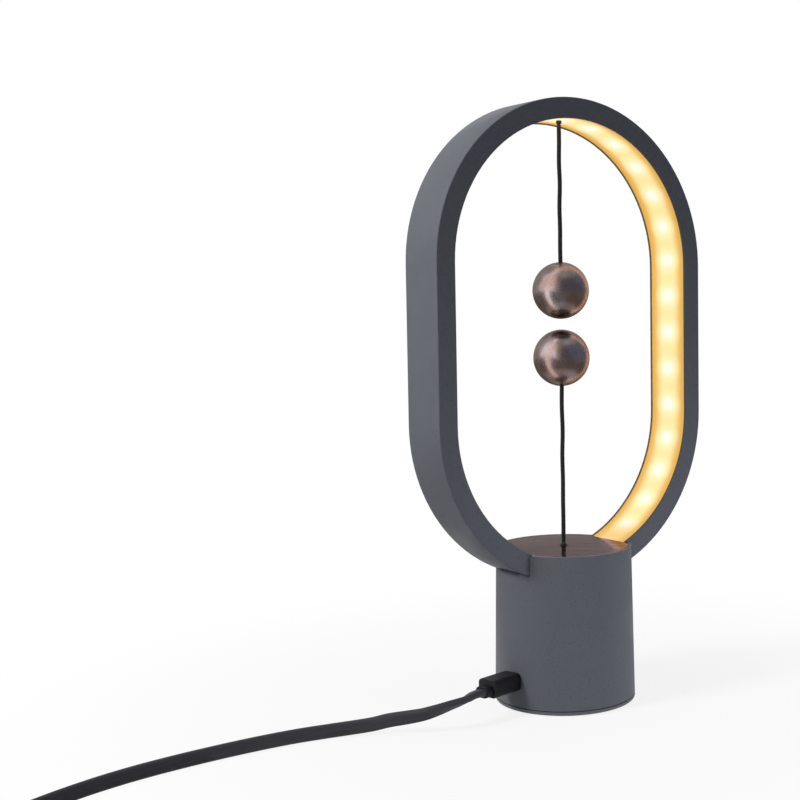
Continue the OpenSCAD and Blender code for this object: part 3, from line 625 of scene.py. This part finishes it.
def finish_of(slot_name):
    """The material of one of the model's slots, made when it is first asked for."""
    label = "slot " + slot_name
    if label not in bpy.context.scene:
        bpy.context.scene[label] = FINISHES[slot_name]().name
    return bpy.data.materials[bpy.context.scene[label]]


def slot_of(node_name):
    return frame["nodes"][node_name].material_slots[0].material.name


# ---- shapes ----

# Points nearer to each other than this are one
WELD = 0.001 * MM
# An edge this near to a flat side is one of its edges
EDGE_REACH = 0.1 * MM
# A face whose normal lies this much along an axis is flat
FLAT = 0.99999


def place_piece(bm, name, body, slot_name, replaced=(), material=None):
    """Makes a finished piece of a bmesh: outward faces, soft shading, finish, body and replaced nodes."""
    bmesh.ops.recalc_face_normals(bm, faces=bm.faces)
    mesh = bpy.data.meshes.new(name)
    bm.to_mesh(mesh)
    bm.free()
    mesh.shade_smooth()
    mesh.set_sharp_from_angle(angle=SHARP)
    mesh.materials.append(material or finish_of(slot_name))
    piece = bpy.data.objects.new(name, mesh)
    bpy.context.scene.collection.objects.link(piece)
    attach(piece, body)
    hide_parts(*replaced)
    return piece


def merged_copy(node_name):
    """A node's mesh as a bmesh whose faces are joined up and whose triangles are paired."""
    bm = bmesh.new()
    bm.from_mesh(frame["nodes"][node_name].data)
    bmesh.ops.remove_doubles(bm, verts=bm.verts, dist=WELD)
    bmesh.ops.join_triangles(
        bm, faces=bm.faces, angle_face_threshold=math.radians(2), angle_shape_threshold=math.radians(40)
    )
    return bm


def round_edges(bm, width, segments, chosen):
    """Rounds the sharp edges for whose middle chosen() says yes."""
    edges = [
        edge for edge in bm.edges
        if len(edge.link_faces) == 2 and edge.calc_face_angle() > SHARP
        and chosen((edge.verts[0].co + edge.verts[1].co) / 2)
    ]
    bmesh.ops.bevel(
        bm, geom=edges, offset=width, offset_type="OFFSET", segments=segments, profile=0.5, affect="EDGES",
        clamp_overlap=True, material=-1,
    )


def softened(node_name, width, segments=3, chosen=lambda middle: True):
    """A copy of a node with rounded edges, in the node's place. Its flat sides keep their flat shading."""
    bm = merged_copy(node_name)
    round_edges(bm, width, segments, chosen)
    node = frame["nodes"][node_name]
    piece = place_piece(bm, node_name + ".soft", node["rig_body"], slot_of(node_name), [node_name])
    for face in piece.data.polygons:
        face.use_smooth = max(abs(part) for part in face.normal) < FLAT
    return piece


def spin_outline(bm, outline, steps=128):
    """Turns a closed outline of (radius, height) points once round Z."""
    verts = [bm.verts.new((radius, 0, height)) for radius, height in outline]
    edges = [bm.edges.new(pair) for pair in zip(verts, verts[1:] + verts[:1])]
    bmesh.ops.spin(
        bm, geom=verts + edges, cent=(0, 0, 0), axis=(0, 0, 1), dvec=(0, 0, 0), angle=2 * math.pi,
        steps=steps, use_merge=True,
    )
    bmesh.ops.remove_doubles(bm, verts=bm.verts, dist=WELD)
    bmesh.ops.dissolve_degenerate(bm, dist=WELD, edges=bm.edges)


def arc(radius, start, end, steps):
    """Points (radius, height) on a circle round the origin; angles in degrees above the horizon."""
    angles = [math.radians(start + (end - start) * k / steps) for k in range(steps + 1)]
    return [(radius * math.cos(a), radius * math.sin(a)) for a in angles]


def carried(frames, segments, width, thickness):
    """Carries a flat section with round sides along a row of frames, by one extrusion after another.

    Its map goes once round in U and counts metres in V.
    """
    bm = bmesh.new()
    around = bm.verts.layers.float.new("around")
    along = bm.verts.layers.float.new("along")
    ring = bmesh.ops.create_circle(bm, cap_ends=False, segments=segments, radius=thickness / 2)["verts"]
    bmesh.ops.rotate(bm, verts=ring, cent=(0, 0, 0), matrix=Matrix.Rotation(math.pi / segments, 3, "Z"))
    for vert in ring:
        vert[around] = (math.atan2(vert.co.y, vert.co.x) / (2 * math.pi)) % 1
        vert.co.x += math.copysign((width - thickness) / 2, vert.co.x)
    bmesh.ops.transform(bm, matrix=frames[0], verts=ring)
    edges = list(bm.edges)
    ends = [edges]
    done = 0.0
    for before, after in zip(frames, frames[1:]):
        grown = bmesh.ops.extrude_edge_only(bm, edges=edges)["geom"]
        ring = [part for part in grown if isinstance(part, bmesh.types.BMVert)]
        edges = [
            part for part in grown
            if isinstance(part, bmesh.types.BMEdge) and all(vert in ring for vert in part.verts)
        ]
        bmesh.ops.transform(bm, matrix=after @ before.inverted(), verts=ring)
        done += (after.translation - before.translation).length
        for vert in ring:
            vert[along] = done
    ends.append(edges)
    for loop in ends:
        bmesh.ops.edgeloop_fill(bm, edges=loop)
    layer = bm.loops.layers.uv.new("UVMap")
    for face in bm.faces:
        wraps = max(v[around] for v in face.verts) - min(v[around] for v in face.verts) > 0.5
        for loop in face.loops:
            turn = loop.vert[around]
            loop[layer].uv = (turn + 1 if wraps and turn < 0.5 else turn, loop.vert[along])
    return bm


def frames_along(points, roll=lambda point: 0.0):
    """One upright frame per point of a path: X across it, Y up and Z ahead, rolled about the path."""
    frames = []
    for i, point in enumerate(points):
        ahead = (points[min(i + 1, len(points) - 1)] - points[max(i - 1, 0)]).normalized()
        across = Vector((0, 0, 1)).cross(ahead).normalized()
        turned = Matrix((across, ahead.cross(across), ahead)).transposed().to_4x4()
        frames.append(Matrix.Translation(point) @ turned @ Matrix.Rotation(roll(point), 4, "Z"))
    return frames


# ---- lead ----

# The socket's direction and place and the plug's lengths, as the model has them
PORT_TURN = math.radians(13)
PORT_OUT = Vector((-math.cos(PORT_TURN), -math.sin(PORT_TURN), 0))
PORT_ACROSS = Vector((-math.sin(PORT_TURN), math.cos(PORT_TURN), 0))
EXIT_HEIGHT = 12.1 * MM
PORT_SIDE = 3.6 * MM
GRIP_START = 29.7594 * MM
GRIP_LENGTH = 14.5 * MM
RELIEF_LENGTH = 3.4 * MM
LEAD_START = GRIP_START + GRIP_LENGTH + RELIEF_LENGTH
LEAD_EXIT = Vector((0, 0, EXIT_HEIGHT)) + PORT_ACROSS * PORT_SIDE + PORT_OUT * LEAD_START
# How far the lead leaves its relief straight
EXIT_RUN = 5 * MM
# The routes to the coil and from it, in millimetres, as the model's lead follows them
LEAD_ROUTE = [
    (-56.5, -9.3, 11.3), (-63.4, -8.9, 10.3), (-68.6, -7.5, 9.1), (-73.1, -4.7, 7.7), (-77.5, -0.9, 6.6),
    (-83.4, 3.9, 5.4), (-88.5, 7.6, 4), (-96, 11.4, 3.2), (-105, 14.3, 2.9), (-115, 16.2, 2.9),
    (-126, 17.3, 2.9), (-138, 17.7, 2.9), (-151, 17.5, 2.9), (-164, 16.7, 2.9), (-178, 15.1, 2.9),
    (-192, 12.2, 2.9), (-206, 7.9, 2.9), (-218, 3.2, 2.9), (-230, -1.6, 3), (-240, -5.3, 3.2),
    (-249, -7.9, 3.3), (-254.5, -8.9, 3.4), (-258, -9, 3.4),
]
TAIL_ROUTE = [
    (-269.2, -9, 10), (-272, -9, 9.9), (-277, -9, 9.3), (-282.5, -9, 8.5), (-288, -9, 7.3),
    (-294, -9, 5.8), (-300, -9, 4.7), (-303, -9, 4.1), (-306, -9, 4.1),
]
# Steps of the drawn curve from one point of a route to the next
LEAD_STEPS = 5
TAIL_STEPS = 4
# Where the flat lead starts to turn onto its edge, and the length that it takes, both along -X
TWIST_START = 46 * MM
TWIST_RUN = 36 * MM
COIL_TURNS = 4
COIL_PITCH = 3.6 * MM
COIL_IN_RADIUS = 22.5 * MM
COIL_START = Vector(LEAD_ROUTE[-1]) * MM
COIL_CENTRE = COIL_START + Vector((-5.6, 29.7, 0)) * MM
COIL_LAYER = 6.6 * MM
COIL_STEPS = 60


def coil_point(turn):
    """A point of the coil, which spirals in on its lower layer, climbs, and spirals out on the upper one."""
    off = turn - COIL_TURNS / 2
    radius = COIL_IN_RADIUS + COIL_PITCH * abs(off)
    angle = -math.pi / 2 - 2 * math.pi * turn
    climb = min(1, max(0, 2 * off + 0.5))
    return COIL_CENTRE + Vector((radius * math.cos(angle), radius * math.sin(angle), COIL_LAYER * climb))


def curve_through(points, steps):
    """A smooth curve through all the points, with that many steps from each to the next."""
    ends = [2 * points[0] - points[1], *points, 2 * points[-1] - points[-2]]
    curve = []
    for a, b, c, d in zip(ends, ends[1:], ends[2:], ends[3:]):
        for k in range(steps):
            t = k / steps
            bend = (2 * a - 5 * b + 4 * c - d) * t ** 2 + (3 * b - a - 3 * c + d) * t ** 3
            curve.append((2 * b + (c - a) * t + bend) / 2)
    return [*curve, points[-1]]


def lead_path():
    """The whole lead in metres: from the small plug through the coil's turns to the big plug."""
    start = [LEAD_EXIT, LEAD_EXIT + PORT_OUT * EXIT_RUN, *(Vector(point) * MM for point in LEAD_ROUTE)]
    coil = [coil_point(k / COIL_STEPS) for k in range(COIL_TURNS * COIL_STEPS + 1)]
    tail = [coil[-1], *(Vector(point) * MM for point in TAIL_ROUTE)]
    return [*curve_through(start, LEAD_STEPS), *coil, *curve_through(tail, TAIL_STEPS)[1:]]


def lead_roll(point):
    """The flat lead leaves the plug lying flat and turns onto its edge."""
    return math.pi / 2 * min(1, max(0, (-point.x - TWIST_START) / TWIST_RUN))


class LAMP_OT_lead(bpy.types.Operator):
    """Make the charging lead, its coil and its two plugs"""

    bl_idname = "lamp.lead"
    bl_label = "Charging lead"

    def execute(self, context):
        settings = context.scene.lamp_lead
        path = lead_path()
        bm = carried(frames_along(path, lead_roll), 20, settings.width, settings.thickness)
        lead = place_piece(
            bm, "charging_lead", "lead", "lead_rubber", ["usb_lead", "lead_coil", "lead_tail"], lead_jacket()
        )
        grip = softened("small_plug_grip", settings.plug_edge, 4)
        relief = softened("strain_relief", settings.relief_edge, 3)
        big_grip = softened("big_plug_grip", settings.big_edge, 4)
        big_relief = softened("big_plug_relief", settings.big_relief_edge, 2)
        tie = softened("coil_tie", settings.tie_edge, 2)
        return {"FINISHED"}


# ---- ring and base ----


def run_round_ring(place):
    """How far round the ring's line of chips a point lies, in metres from the top, negative on the left."""
    light = bpy.context.scene.lamp_light
    high = RING_HIGH.z - RING_HIGH.x
    low = RING_LOW.z + RING_HIGH.x
    upper = place.z > (high + low) / 2
    turn = math.atan2(place.x, place.z - (high if upper else low))
    return light.line_radius * turn + (0 if upper else math.copysign(high - low, turn))


class LAMP_OT_ring(bpy.types.Operator):
    """Make the painted ring and the lit band inside it"""

    bl_idname = "lamp.ring"
    bl_label = "Light ring"

    def execute(self, context):
        light = context.scene.lamp_light
        edge = context.scene.lamp_paint.ring_edge
        softened("ring_frame", edge, 3, lambda middle: abs(middle.y) > RING_HIGH.y - EDGE_REACH)
        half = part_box("light_diffuser")[1].y
        for node_name in ("light_diffuser", "upper_anchor"):
            bm = merged_copy(node_name)
            layer = bm.loops.layers.uv.new("UVMap")
            for face in bm.faces:
                for loop in face.loops:
                    run = run_round_ring(loop.vert.co)
                    loop[layer].uv = ((run - light.shift) / light.pitch, loop.vert.co.y / half)
            place_piece(bm, node_name + ".lit", "stand", "diffuser", [node_name])
        return {"FINISHED"}


class LAMP_OT_base(bpy.types.Operator):
    """Make the base's housing and its brushed plate"""

    bl_idname = "lamp.base"
    bl_label = "Base"

    def execute(self, context):
        paint = context.scene.lamp_paint
        outside = 0.9 * BASE_HIGH.x
        rim = BASE_HIGH.z - EDGE_REACH
        softened(
            "base_housing", paint.base_edge, 3, lambda middle: middle.xy.length > outside and middle.z > rim
        )
        softened("top_plate", paint.plate_edge, 2, lambda middle: middle.z > PLATE_HIGH.z - EDGE_REACH)
        return {"FINISHED"}


# ---- balls and cords ----

# The gap round a ball's cap
CAP_PLAY = 0.03 * MM
# Length of one step of a braided cord
CORD_STEP = 0.2 * MM


class LAMP_OT_balls(bpy.types.Operator):
    """Make the two balls with their screwed-in caps"""

    bl_idname = "lamp.balls"
    bl_label = "Magnetic balls"

    def execute(self, context):
        ball = context.scene.lamp_ball
        seam_turn = math.degrees(math.acos(ball.pocket_radius / ball.radius))
        hole_turn = math.degrees(math.acos(ball.hole_radius / ball.radius))
        shell = [(0, -ball.pocket_floor), (ball.pocket_radius, -ball.pocket_floor)]
        shell += arc(ball.radius, seam_turn, -90, 72)
        lid_radius = ball.pocket_radius - CAP_PLAY
        lid_turn = math.degrees(math.acos(lid_radius / ball.radius))
        lid = [(ball.hole_radius, ball.cap_floor), (lid_radius, ball.cap_floor)]
        lid += arc(ball.radius, lid_turn, hole_turn, 16)
        for side, up in (("upper", 1), ("lower", -1)):
            low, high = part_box(side + "_ball")
            middle = low.z + ball.radius if up > 0 else high.z - ball.radius
            for part, outline in (("_ball", shell), ("_ball_cap", lid)):
                bm = bmesh.new()
                spin_outline(bm, [(radius, height * up) for radius, height in outline])
                round_edges(bm, ball.seam, 2, lambda place: place.length > 0.98 * ball.radius)
                bmesh.ops.translate(bm, verts=bm.verts, vec=(0, 0, middle))
                place_piece(bm, side + part + ".turned", side + "_weight", "ball_metal", [side + part])
        return {"FINISHED"}


class LAMP_OT_cords(bpy.types.Operator):
    """Make the braided cords of the two balls"""

    bl_idname = "lamp.cords"
    bl_label = "Braided cords"

    def execute(self, context):
        cord = context.scene.lamp_cord
        yarn = braided_yarn()
        for side in ("upper", "lower"):
            low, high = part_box(side + "_cord")
            tall = high.z - low.z
            steps = round(tall / CORD_STEP)
            points = [self.place_at(cord, low.z + tall * k / steps, k / steps) for k in range(steps + 1)]
            frames = [Matrix.Translation(point) for point in points]
            bm = carried(frames, 16, cord.diameter, cord.diameter)
            piece = place_piece(
                bm, side + "_cord.braid", side + "_weight", "cord_black", [side + "_cord"], yarn
            )
        return {"FINISHED"}

    @staticmethod
    def place_at(cord, height, part):
        """A point of a cord, which strays a little from a straight line, but not at its ends."""
        stray = cord.wave * math.sin(math.pi * part)
        return Vector((stray * math.sin(7 * math.pi * part), stray * math.cos(5 * math.pi * part), height))


class LAMP_OT_inside(bpy.types.Operator):
    """Give every part that keeps its modelled shape its finish"""

    bl_idname = "lamp.inside"
    bl_label = "Finishes of the other parts"

    def execute(self, context):
        for node in frame["nodes"].values():
            for slot in node.material_slots:
                if slot.material and slot.material.name in FINISHES:
                    slot.material = finish_of(slot.material.name)
        return {"FINISHED"}


# ---- stage ----


FLOOR_RADIUS = 6
# The floor turns white from near the lamp's axis to further out, and is partly white even close by
WHITE_START = 0.05
WHITE_END = 0.26
WHITE_CLOSE_BY = 0.84
# Sheets that only reflections see, which paint dark reflections, a dimmer floor in reflections and a pale
# highlight:
# outline of (radius, height) points, start and sweep in degrees round the lamp from +X, and colour in linear
# values where 1 is a white page
PAINTED_REFLECTION_CARDS = {
    "painted_dark_reflection": ([(1.9, 0.01), (2, 2.4)], 229, 140, (0.34, 0.4, 0.55)),
    "painted_dim_floor_reflection": ([(0.15, 0.001), (1.9, 0.001)], 0, 360, (0.42, 0.38, 0.36)),
    "painted_pale_highlight": ([(0.9, 0.18), (0.55, 0.95)], 138, 72, (3.2, 3, 3.1)),
}
CARD_STEPS = 40


def seen_directly(sheet):
    """1 for a ray from the camera, off a glossy surface or through glass."""
    rays = sheet.add("ShaderNodeLightPath").outputs
    first = sheet.calc("MAXIMUM", rays["Is Camera Ray"], rays["Is Glossy Ray"])
    return sheet.calc("MAXIMUM", first, rays["Is Transmission Ray"])


def pale_floor(stage):
    """A lit floor that keeps the shadow near the lamp and fades into the white background further out."""
    material, sheet, shader = new_finish("pale_floor", Roughness=0.9, Specular_IOR_Level=0.1)
    output = material.node_tree.nodes["Material Output"]
    place = object_place(sheet)
    tone = sheet.blend(sheet.noise(place, 14.0), stage.floor, shade(232, 232, 235))
    sheet.feed(shader.inputs["Base Color"], tone)
    x, y, _ = sheet.parts(place)
    far = sheet.band(sheet.distance(x, y), WHITE_START, WHITE_END, WHITE_CLOSE_BY, 1.0)
    seen = sheet.calc("MULTIPLY", far, seen_directly(sheet))
    white = sheet.add("ShaderNodeEmission", {"Color": (1, 1, 1, 1), "Strength": 1.0})
    mixed = sheet.add("ShaderNodeMixShader", {"Fac": seen})
    sheet.feed(mixed.inputs[1], shader.outputs[0])
    sheet.feed(mixed.inputs[2], white.outputs[0])
    sheet.feed(output.inputs["Surface"], mixed.outputs[0])
    return material


def painted_reflection_card(name, outline, start, sweep, colour):
    """A sheet spun about the lamp's axis, which shows only as a painted reflection."""
    bm = bmesh.new()
    side = Matrix.Rotation(math.radians(start), 3, "Z")
    verts = [bm.verts.new(side @ Vector((radius, 0, height))) for radius, height in outline]
    edges = [bm.edges.new(pair) for pair in zip(verts, verts[1:])]
    bmesh.ops.spin(
        bm, geom=verts + edges, cent=(0, 0, 0), axis=(0, 0, 1), dvec=(0, 0, 0),
        angle=math.radians(sweep), steps=CARD_STEPS,
    )
    mesh = bpy.data.meshes.new(name)
    bm.to_mesh(mesh)
    bm.free()
    material = bpy.data.materials.new(name)
    material.use_nodes = True
    sheet = NodeSheet(material.node_tree)
    glow = sheet.add("ShaderNodeEmission", {"Color": (*colour, 1), "Strength": 1.0})
    sheet.feed(material.node_tree.nodes["Material Output"].inputs["Surface"], glow.outputs[0])
    mesh.materials.append(material)
    card = bpy.data.objects.new(name, mesh)
    card.visible_camera = False
    card.visible_diffuse = False
    card.visible_transmission = False
    card.visible_shadow = False
    bpy.context.scene.collection.objects.link(card)


def soft_lamp(name, place, width, power, target=(0, 0, 0.1), spread=180.0):
    """A round soft lamp that metal doesn't mirror. A small spread, in degrees, narrows its light."""
    data = bpy.data.lights.new(name, "AREA")
    data.shape = "DISK"
    data.size = width
    data.energy = power
    data.spread = math.radians(spread)
    lamp = bpy.data.objects.new(name, data)
    lamp.location = place
    lamp.rotation_euler = (Vector(target) - Vector(place)).to_track_quat("-Z", "Y").to_euler()
    lamp.visible_glossy = False
    bpy.context.scene.collection.objects.link(lamp)


class LAMP_OT_camera(bpy.types.Operator):
    """Put the camera where the photograph was taken from"""

    bl_idname = "lamp.camera"
    bl_label = "Camera"

    def execute(self, context):
        stage = context.scene.lamp_stage
        data = bpy.data.cameras.new("camera")
        data.sensor_width = 36
        data.lens = stage.lens
        data.shift_x = stage.shift
        data.clip_start = 0.01
        level = math.cos(stage.pitch)
        ahead = Vector((level * math.sin(stage.yaw), level * math.cos(stage.yaw), math.sin(stage.pitch)))
        right = Vector((math.cos(stage.yaw), -math.sin(stage.yaw), 0))
        turned = Matrix((right, right.cross(ahead), -ahead)).transposed().to_4x4()
        camera = bpy.data.objects.new("camera", data)
        rolled = turned @ Matrix.Rotation(stage.roll, 4, "Z")
        camera.matrix_world = Matrix.Translation(stage.camera_place) @ rolled
        context.scene.collection.objects.link(camera)
        context.scene.camera = camera
        return {"FINISHED"}


class LAMP_OT_stage(bpy.types.Operator):
    """Make the pale floor, the white surroundings, the sheets that paint reflections, and the soft lamps"""

    bl_idname = "lamp.stage"
    bl_label = "Stage"

    def execute(self, context):
        stage = context.scene.lamp_stage
        bm = bmesh.new()
        bmesh.ops.create_circle(bm, cap_ends=True, segments=64, radius=FLOOR_RADIUS)
        mesh = bpy.data.meshes.new("floor")
        bm.to_mesh(mesh)
        bm.free()
        mesh.materials.append(pale_floor(stage))
        floor = bpy.data.objects.new("floor", mesh)
        context.scene.collection.objects.link(floor)
        self.surround(context, stage)
        # Sheets seen only in reflections: painted dark reflections, a painted dimmer floor and a painted pale
        # highlight
        for name, card in PAINTED_REFLECTION_CARDS.items():
            painted_reflection_card(name, *card)
        soft_lamp("key_lamp", (-0.8, 0.05, 0.62), 0.3, stage.key_power, target=(0, 0, 0.15), spread=48)
        soft_lamp("fill_lamp", (0.3, -0.42, 0.06), 0.2, stage.fill_power, target=(0, 0, 0.02), spread=40)
        soft_lamp("top_lamp", (0.1, 0.25, 0.9), 0.7, stage.top_power)
        context.scene.view_settings.view_transform = "Standard"
        return {"FINISHED"}

    @staticmethod
    def surround(context, stage):
        """White where it is seen, and an even, weaker light elsewhere."""
        world = bpy.data.worlds.new("white_surroundings")
        world.use_nodes = True
        sheet = NodeSheet(world.node_tree)
        strength = sheet.band(seen_directly(sheet), 0, 1, stage.sky, 1.0)
        background = world.node_tree.nodes["Background"]
        sheet.feed(background.inputs["Color"], (1, 1, 1, 1))
        sheet.feed(background.inputs["Strength"], strength)
        context.scene.world = world


class LAMP_PT_panel(bpy.types.Panel):
    """Lists the lamp's settings and the operators that make it"""

    bl_label = "Balance lamp"
    bl_idname = "LAMP_PT_panel"
    bl_space_type = "VIEW_3D"
    bl_region_type = "UI"
    bl_category = "Balance lamp"

    def draw(self, context):
        for operator in OPERATORS:
            self.layout.operator(operator.bl_idname)
        for name, group in SETTINGS.items():
            box = self.layout.box()
            box.label(text=group.__doc__)
            for setting in group.__annotations__:
                box.prop(getattr(context.scene, name), setting)


OPERATORS = (
    LAMP_OT_camera, LAMP_OT_lead, LAMP_OT_cords, LAMP_OT_balls, LAMP_OT_ring, LAMP_OT_base, LAMP_OT_inside,
    LAMP_OT_stage,
)
SETTINGS = {
    "lamp_paint": LampPaintSettings,
    "lamp_light": LampLightSettings,
    "lamp_ball": LampBallSettings,
    "lamp_cord": LampCordSettings,
    "lamp_lead": LampLeadSettings,
    "lamp_stage": LampStageSettings,
}
CLASSES = (*SETTINGS.values(), *OPERATORS, LAMP_PT_panel)


def register():
    for cls in CLASSES:
        bpy.utils.register_class(cls)
    for name, group in SETTINGS.items():
        setattr(bpy.types.Scene, name, bpy.props.PointerProperty(type=group))


def unregister():
    for name in SETTINGS:
        delattr(bpy.types.Scene, name)
    for cls in reversed(CLASSES):
        bpy.utils.unregister_class(cls)


def main():
    register()
    bpy.ops.lamp.camera()
    bpy.ops.lamp.lead()
    bpy.ops.lamp.cords()
    bpy.ops.lamp.balls()
    bpy.ops.lamp.ring()
    bpy.ops.lamp.base()
    bpy.ops.lamp.inside()
    bpy.ops.lamp.stage()


if __name__ == "__main__":
    main()
